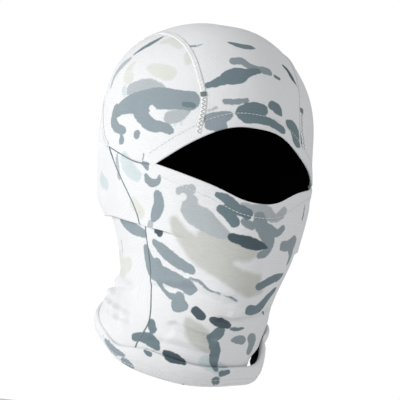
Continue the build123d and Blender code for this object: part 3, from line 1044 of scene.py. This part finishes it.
def make_cuff():
    """The rolled neck hem; returns what its stitches need to lie on it."""
    azimuth = -180 + 360 * np.arange(COLUMNS) / COLUMNS
    section = np.array(CUFF_SECTION + CUFF_SECTION[:1], float)
    knots = np.concatenate([[0], np.cumsum(np.linalg.norm(np.diff(section, axis=0), axis=1))])
    line = spline(knots, section, spline_slopes(knots, section),
                  np.linspace(0, knots[-1], CUFF_POINTS, endpoint=False))
    turn = np.radians(azimuth)
    edge = np.interp(azimuth, CUFF_EDGE_AZ, CUFF_EDGE)
    edge = edge + 0.5 * np.sin(5 * turn + 1)
    top = CUFF_TOP + 1.1 * np.sin(2 * turn + 0.6) + 0.5 * np.sin(7 * turn)
    top = top + 8.0 * window(azimuth, -70, -42, 60, 110)
    top = top + 20.0 * window(azimuth, 22, 58, 96, 150)
    stand = 1 + 0.7 * window(azimuth, 14, 32, 48, 76)
    stand = stand + 0.12 * np.sin(6 * turn + 2)
    share = line[:, 0] / CUFF_TOP
    level = edge[:, None] + (top - edge)[:, None] * share
    out = line[:, 1] * stand[:, None]
    notch = bump(azimuth, NOTCH_AZ, NOTCH_WIDTH)[:, None]
    out = out - NOTCH_DEPTH * notch * step(line[:, 1], 1.2, 2.2)
    place = cuff_place(azimuth, level, out)
    across = np.roll(place, -1, 0) - np.roll(place, 1, 0)
    along = np.roll(place, -1, 1) - np.roll(place, 1, 1)
    normal = np.cross(across, along)
    normal /= np.linalg.norm(normal, axis=2)[..., None]
    if (normal[:, 4] * form(azimuth, np.full(COLUMNS, LENGTH - 10))).sum(1).mean() < 0:
        normal = -normal
    index = np.arange(COLUMNS * CUFF_POINTS).reshape(COLUMNS, CUFF_POINTS)
    one, two = index, np.roll(index, -1, 0)
    faces = np.stack([one, np.roll(one, -1, 1), np.roll(two, -1, 1), two], -1).reshape(-1, 4)
    flat = place.reshape(-1, 3)
    corner = flat[faces[:, :3]]
    facing = np.cross(corner[:, 1] - corner[:, 0], corner[:, 2] - corner[:, 0])
    if (facing * normal.reshape(-1, 3)[faces[:, 0]]).sum() < 0:
        faces = faces[:, ::-1]
    # faces tucked against the cloth take the near-black material: painted shade under the cuff's fold
    under_fold_shade = np.tile(line[:, 1] < CUFF_INSIDE, COLUMNS)
    piece = new_object("neck_cuff", flat, faces.tolist(), [knit_material, inner_shade_material],
                       under_fold_shade[faces].all(1), normal.reshape(-1, 3))
    knit = np.stack([np.repeat(azimuth * 1.2, CUFF_POINTS), np.tile(line[:, 0], COLUMNS)], 1)
    level_place = cuff_place(azimuth, level, np.zeros_like(level)).reshape(-1, 3)
    set_attributes(piece.data, printed(level_place), knit)
    sewn(piece, "neck_collar", ["neck_hem"])
    return azimuth, edge, top, stand


# ---- seams and stitches along lines on the cloth -------------------------------------------------
GUESS_AZ, GUESS_ALONG = [g.ravel() for g in np.meshgrid(
    np.linspace(-180, 180, 181), np.linspace(2, LENGTH, 160))]
GUESS_FORM = form(GUESS_AZ, GUESS_ALONG)


def seat(points, view, keep):
    """Azimuth and distance along the form of flat points, seen in one of the flat views."""
    usable = keep(GUESS_FORM)
    flat = np.stack(view(GUESS_FORM), 1)
    az, along = np.empty(len(points)), np.empty(len(points))
    for k, point in enumerate(points):
        gap = np.where(usable, ((flat - point) ** 2).sum(1), 1e9)
        az[k], along[k] = GUESS_AZ[gap.argmin()], GUESS_ALONG[gap.argmin()]
    for _ in range(8):
        here = np.stack(view(form(az, along)), 1)
        da = (np.stack(view(form(az + 0.05, along)), 1) - here) / 0.05
        dt = (np.stack(view(form(az, along + 0.05)), 1) - here) / 0.05
        miss = points - here
        det = da[:, 0] * dt[:, 1] - da[:, 1] * dt[:, 0]
        det = np.where(np.abs(det) < 1e-4, 1e-4, det)
        az += np.clip((miss[:, 0] * dt[:, 1] - miss[:, 1] * dt[:, 0]) / det, -3, 3)
        along += np.clip((da[:, 0] * miss[:, 1] - da[:, 1] * miss[:, 0]) / det, -4, 4)
        along = np.clip(along, 1, LENGTH)
    return az, along


def front_view(place):
    return place[..., 0], place[..., 2]


def side_view(place):
    return place[..., 1], place[..., 2]


def is_front(place):
    return place[:, 1] < -20


def is_side(side):
    return lambda place: side * place[:, 0] > 8


def frame_along(az, along):
    """Places, normals and sideways directions along a line on the cloth."""
    place = cloth(az, along)
    normal = normals_of(cloth, az, along)
    ahead = np.gradient(place, axis=0)
    ahead /= np.maximum(np.linalg.norm(ahead, axis=1), 1e-9)[:, None]
    side = np.cross(normal, ahead)
    side /= np.maximum(np.linalg.norm(side, axis=1), 1e-9)[:, None]
    return place, normal, side


def even(place, *others, gap=1.0):
    """Evenly spaced samples along a line, with whatever else is known along it."""
    lengths = np.concatenate([[0], np.cumsum(np.linalg.norm(np.diff(place, axis=0), axis=1))])
    spots = np.arange(gap / 2, lengths[-1], gap)
    columns = np.column_stack([place] + list(others))
    found = np.stack([np.interp(spots, lengths, c) for c in columns.T], 1)
    return [found[:, 3 * k:3 * k + 3] for k in range(1 + len(others))]


FLATLOCK = [(-1.0, -0.1), (-0.92, 0.5), (-0.6, 0.9), (-0.25, 0.78), (0, 0.62), (0.25, 0.78),
            (0.6, 0.9), (0.92, 0.5), (1.0, -0.1), (0.5, -0.8), (-0.5, -0.8)]
ROLLED = [(-1.0, -0.1), (-0.7, 0.6), (-0.3, 0.95), (0, 1.0), (0.3, 0.95), (0.7, 0.6),
          (1.0, -0.1), (0.5, -0.8), (-0.5, -0.8)]


def outward_faces(piece):
    """Turns the faces of a closed piece outwards."""
    mesh = bmesh.new()
    mesh.from_mesh(piece.data)
    bmesh.ops.recalc_face_normals(mesh, faces=mesh.faces)
    mesh.to_mesh(piece.data)
    mesh.free()
    return piece


def tube_faces(stations, around):
    """Faces of a tube made of rings of points, with both ends closed."""
    faces = []
    for k in range(stations - 1):
        for j in range(around):
            n = (j + 1) % around
            faces.append([k * around + j, k * around + n, (k + 1) * around + n,
                          (k + 1) * around + j])
    faces.append(list(range(around))[::-1])
    faces.append([(stations - 1) * around + j for j in range(around)])
    return faces


def strip(name, place, normal, side, half_width, height, profile, material):
    """A sewn strip of one width and height, swept along a line on the cloth."""
    profile = np.array(profile, float)
    wide = half_width * profile[None, :, 0:1]
    tall = height * profile[None, :, 1:2]
    points = place[:, None] + side[:, None] * wide + normal[:, None] * tall
    faces = tube_faces(*points.shape[:2])
    return outward_faces(new_object(name, points.reshape(-1, 3), faces, [material]))


STITCH_STATIONS = [(-0.5, 0.35, -0.5), (-0.32, 0.9, 0.05), (0.0, 1.0, 0.3), (0.32, 0.9, 0.05),
                   (0.5, 0.35, -0.5)]
STITCH_SIDES = 7


def stitches(name, starts, ends, normals, radius):
    """Short lengths of thread that dip into the cloth at both ends, in one piece."""
    starts, ends, normals = (np.asarray(v, float) for v in (starts, ends, normals))
    middle, ahead = (starts + ends) / 2, ends - starts
    length = np.linalg.norm(ahead, axis=1)[:, None]
    ahead = ahead / length
    side = np.cross(normals, ahead)
    rings = []
    for where, size, rise in STITCH_STATIONS:
        for k in range(STITCH_SIDES):
            turn = 2 * pi * k / STITCH_SIDES
            around = side * cos(turn) + normals * sin(turn)
            rings.append(middle + ahead * length * where + around * radius * size
                         + normals * radius * (rise + 0.35))
    points = np.stack(rings, 1)
    pattern = tube_faces(len(STITCH_STATIONS), STITCH_SIDES)
    faces = []
    for k in range(len(points)):
        base = k * points.shape[1]
        faces += [[base + v for v in face] for face in pattern]
    return outward_faces(new_object(name, points.reshape(-1, 3), faces, [thread_material]))


def bar_tack(name, middle, forward, across, normal, count, pitch, reach, stand, radius):
    """Stitches side by side across one place."""
    starts, ends = [], []
    for k in range(count):
        spot = middle + forward * (k - (count - 1) / 2) * pitch + normal * stand
        starts.append(spot - across * reach)
        ends.append(spot + across * reach)
    return stitches(name, starts, ends, [normal] * count, radius)


def running_row(place, normal, gap, length):
    """Starts, ends and normals of stitches that follow a line."""
    place, normal = even(place, normal, gap=gap)
    ahead = np.gradient(place, axis=0)
    ahead /= np.linalg.norm(ahead, axis=1)[:, None]
    return place - ahead * length / 2, place + ahead * length / 2, normal


def eye_line(edge, inset, side):
    """The line of an eye hem's stitches, on the face of that hem."""
    line = smooth_line(both_sides(edge), 1.5)
    depth = inset * (1 - CORNER_TAPER * (np.abs(line[:, 0]) / 66) ** 2)
    line = moved(line, side * depth)[3:-3]
    return seat(line, front_view, is_front)


def make_eye_stitches():
    az, along = eye_line(BROW_EDGE, STITCH_INSET, 1)
    place, normal, _ = frame_along(az, along)
    piece = stitches("brow_thread", *running_row(place + normal * 0.12, normal, 2.9, 2.3),
                     THREAD_RADIUS)
    sewn(piece, "hood", ["brow_hem_stitches"])
    az, along = eye_line(COVER_EDGE, STITCH_INSET, -1)
    place, normal, _ = frame_along(az, along)
    starts, ends, normals = running_row(place + normal * 0.12, normal, 2.9, 2.3)
    middle = (starts[:, 0] + ends[:, 0]) / 2
    for word, side, here in (("middle", 0, np.abs(middle) <= SPLIT_SIDE),
                             ("right", -1, middle < -SPLIT_SIDE), ("left", 1, middle > SPLIT_SIDE)):
        piece = stitches("cover_thread_" + word, starts[here], ends[here], normals[here],
                         THREAD_RADIUS)
        sewn(piece, cover_ride(side), ["face_cover_hem_stitches"])


def make_neck_stitches(azimuth, edge, top, stand):
    """Two rows of coverstitch round the rolled neck hem."""
    closed = np.append(np.arange(COLUMNS), 0)
    for word, row in (("lower", 5.0), ("upper", 9.5)):
        section = np.array(CUFF_SECTION[:CUFF_FACE], float)
        out = np.interp(row, section[:, 0], section[:, 1]) * stand
        out = out - NOTCH_DEPTH * bump(azimuth, NOTCH_AZ, NOTCH_WIDTH)
        level = edge + (top - edge) * row / CUFF_TOP
        place = cuff_place(azimuth, level[:, None], out[:, None])[:, 0]
        upper = cuff_place(azimuth, level[:, None] + 2, out[:, None])[:, 0]
        ahead = np.roll(place, -1, 0) - np.roll(place, 1, 0)
        normal = np.cross(ahead, upper - place)
        normal /= np.linalg.norm(normal, axis=1)[:, None]
        normal *= np.sign((normal[:, :2] * place[:, :2]).sum(1))[:, None]
        starts, ends, normals = running_row(place[closed], normal[closed], 3.1, 2.4)
        piece = stitches("neck_thread_" + word, starts, ends, normals, THREAD_RADIUS)
        sewn(piece, "neck_collar", ["neck_hem_stitches_" + word])


LADDER_TOP = 47.0       # the crown seams' stitches are grey from the brow up to here
TACK_HEIGHT = 47.0
BROW_END = 0.9          # the crown seams end this far from the edge of the opening
JOIN_END = 1.0


def above_opening(place, normal, ends, lift, low, high):
    """Places raised where they cross an eye hem, and which of them are clear of the opening."""
    opening = distance_to(opening_outline(), place[:, 0], place[:, 2])
    opening = far_from(opening, place[:, 1] < -20)
    return place + normal * (lift * step(opening, high, low))[:, None], opening > ends


def sampled(rows, spots):
    """A line's rows at places between its samples."""
    return np.stack([np.interp(spots, np.arange(len(rows)), c) for c in rows.T], 1)


def make_crown_seam(side, word):
    """The flat seam, its zigzag stitches, and the bar tack across it above the brow."""
    line = smooth_line(CROWN_SEAM_LINE, 1.2)
    az, along = seat(line, lambda spot: crown_view(spot, side), is_side(side))
    place, normal, across = frame_along(az, along)
    place, keep = above_opening(place, normal, BROW_END, 0.6, 8, 11)
    place, normal, across = even(place[keep], normal[keep], across[keep], gap=1.0)
    piece = strip("crown_flatlock_" + word, place, normal, across, CROWN_SEAM / 2, 0.62,
                  FLATLOCK, tape_material)
    sewn(piece, "hood", ["crown_seam_" + word])
    count = int(len(place) / 1.5)
    spots = np.linspace(0, len(place) - 1, count)
    where, up, wide = (sampled(rows, spots) for rows in (place, normal, across))
    swing = np.where(np.arange(count) % 2 == 0, -1.0, 1.0)[:, None] * CROWN_SEAM * 0.40
    zigzag = where + wide * swing + up * 0.42
    piece = stitches("crown_thread_" + word, zigzag[:-1], zigzag[1:], up[:-1], 0.22)
    piece.data.materials.append(thread_and_seam_shade_material)
    per_stitch = len(piece.data.polygons) // (count - 1)
    low = (where[:-1, 2] < LADDER_TOP) & (where[:-1, 1] < 0)
    piece.data.polygons.foreach_set(
        "material_index", np.repeat(low, per_stitch).astype(np.int32))
    sewn(piece, "hood", ["crown_seam_stitches_" + word])
    spot = np.abs(where[:count // 4, 2] - TACK_HEIGHT).argmin()
    middle, normal_here = where[spot], up[spot] / np.linalg.norm(up[spot])
    side_here = wide[spot] / np.linalg.norm(wide[spot])
    forward = np.cross(side_here, normal_here)
    piece = bar_tack("brow_tack_" + word, middle, forward, side_here, normal_here,
                     13, 0.28, 2.3, 0.55, 0.2)
    piece.data.materials[0] = thread_and_seam_shade_material
    sewn(piece, "hood", ["brow_bar_tack_" + word])


def make_side_seams(side, word):
    """The join from the eye corner to behind the ear, and the one from there down the neck."""
    for name, line, body, node, width in (
            ("cap_join_", CAP_JOIN_LINE, "hood", "cap_seam_", CAP_SEAM),
            ("side_join_", SIDE_SEAM_LINE, NECK, "side_seam_", SIDE_SEAM)):
        az, along = seat(smooth_line(line, 1.2), side_view, is_side(side))
        place, normal, across = frame_along(az, along)
        place, keep = above_opening(place, normal, JOIN_END, 0.55, 7, 10)
        keep &= (hem_level(form(az, along)) > 9) & (along < LENGTH - 0.5)
        place, normal, across = even(place[keep], normal[keep], across[keep], gap=1.1)
        # dark grey strip sunk 0.7 mm into the groove: the seam's thread and painted shade in the seam
        piece = strip(name + word, place - normal * 0.7, normal, across, width * 0.3, 0.45,
                      ROLLED, thread_and_seam_shade_material)
        sewn(piece, body, [node + word])


def make_corner_tack(side, word):
    """A dense patch of thread where the face cover's hem is sewn over the brow hem."""
    az, along = seat(np.array([(-49.0, -3.5)]), side_view, is_side(side))
    here, normal = cloth(az, along)[0], normals_of(cloth, az, along)[0]
    up = np.array([0, 0, 1.0]) - normal * normal[2]
    up /= np.linalg.norm(up)
    across = np.cross(normal, up)
    piece = bar_tack("corner_tack_" + word, here, up, across, normal, 16, 0.31, 0.9, 0.6, 0.19)
    sewn(piece, "hood", ["corner_bar_tack_" + word])


# ---- the stage, the light and the camera ----------------------------------------------------------
def principled(name, color, roughness):
    material = bpy.data.materials.new(name)
    material.use_nodes = True
    shader = material.node_tree.nodes["Principled BSDF"]
    shader.inputs["Base Color"].default_value = (*color, 1)
    shader.inputs["Roughness"].default_value = roughness
    return material


FLOOR_HEIGHT = -0.42
STUDIO_WALL = (0.90, 0.965, 0.57, 1.02)    # the wall is brightest behind the mask


def make_stage():
    """A round floor, and a pale studio whose wall is brighter behind the mask."""
    bpy.ops.mesh.primitive_circle_add(vertices=96, radius=1.6, fill_type="NGON",
                                      location=(0, 0, FLOOR_HEIGHT))
    floor = bpy.context.object
    floor.name = "floor"
    floor.data.materials.append(principled("pale_floor", (0.86, 0.86, 0.86), 0.9))
    world = bpy.data.worlds.new("studio")
    bpy.context.scene.world = world
    world.use_nodes = True
    tree = world.node_tree
    facing = tree.nodes.new("ShaderNodeVectorMath")
    facing.operation = "DOT_PRODUCT"
    tree.links.new(tree.nodes.new("ShaderNodeTexCoord").outputs["Generated"], facing.inputs[0])
    facing.inputs[1].default_value = -view_back
    wall = tree.nodes.new("ShaderNodeMapRange")
    wall.interpolation_type = "SMOOTHSTEP"
    tree.links.new(facing.outputs["Value"], wall.inputs["Value"])
    for key, number in zip(("From Min", "From Max", "To Min", "To Max"), STUDIO_WALL):
        wall.inputs[key].default_value = number
    tree.links.new(wall.outputs["Result"], tree.nodes["Background"].inputs["Strength"])
    tree.nodes["Background"].inputs["Color"].default_value = (1, 1, 1, 1)
    bpy.context.scene.view_settings.view_transform = "Standard"


def area_light(name, place, aim, size, power):
    data = bpy.data.lights.new(name, "AREA")
    data.shape = "DISK"
    data.size = size
    data.energy = power
    light = bpy.data.objects.new(name, data)
    light.location = place
    light.rotation_euler = (Vector(aim) - Vector(place)).to_track_quat("-Z", "Y").to_euler()
    bpy.context.scene.collection.objects.link(light)


LIGHTS = [              # name, metres right, up and towards the camera, size, power
    ("key", (-1.15, 0.4, 0.6), 0.6, 13.0), ("fill", (0.9, 0.5, 1.1), 0.9, 3.6),
]
# The azimuth was set directly; the other angles come from the same fit as SECTIONS.
CAMERA_AZIMUTH = radians(-24.5)
CAMERA_ELEVATION = radians(-0.35)
CAMERA_ROLL = radians(7.5)
CAMERA_DISTANCE = 1.2
CAMERA_TARGET = Vector((0, 0, -0.033))
CAMERA_OFFSET = (0.0020, 0.0038)
CAMERA_LENS = 138.5


def make_camera():
    """Makes the camera and returns its directions to the right, up and back."""
    back = Vector((sin(CAMERA_AZIMUTH) * cos(CAMERA_ELEVATION),
                   -cos(CAMERA_AZIMUTH) * cos(CAMERA_ELEVATION), sin(CAMERA_ELEVATION)))
    right = Vector((cos(CAMERA_AZIMUTH), sin(CAMERA_AZIMUTH), 0))
    up = back.cross(right)
    rolled_right = right * cos(CAMERA_ROLL) + up * sin(CAMERA_ROLL)
    rolled_up = up * cos(CAMERA_ROLL) - right * sin(CAMERA_ROLL)
    place = CAMERA_TARGET + back * CAMERA_DISTANCE
    place = place + rolled_right * CAMERA_OFFSET[0] + rolled_up * CAMERA_OFFSET[1]
    data = bpy.data.cameras.new("camera")
    data.lens = CAMERA_LENS
    data.sensor_width = 36
    camera = bpy.data.objects.new("camera", data)
    camera.matrix_world = Matrix(
        [[rolled_right[k], rolled_up[k], back[k], place[k]] for k in range(3)] + [[0, 0, 0, 1]])
    bpy.context.scene.collection.objects.link(camera)
    bpy.context.scene.camera = camera
    return rolled_right, rolled_up, back


view_right, view_up, view_back = make_camera()
make_stage()
for lamp, (to_right, to_top, to_camera), broad, watts in LIGHTS:
    spot = CAMERA_TARGET + view_right * to_right + view_up * to_top + view_back * to_camera
    area_light(lamp, spot, CAMERA_TARGET, broad, watts)

scattered_strokes()
grid = master_patch()
make_panels(grid)
make_hems(grid)
cuff_lines = make_cuff()
make_eye_stitches()
make_neck_stitches(*cuff_lines)
for sign, name in ((-1, "right"), (1, "left")):
    make_crown_seam(sign, name)
    make_side_seams(sign, name)
    make_corner_tack(sign, name)
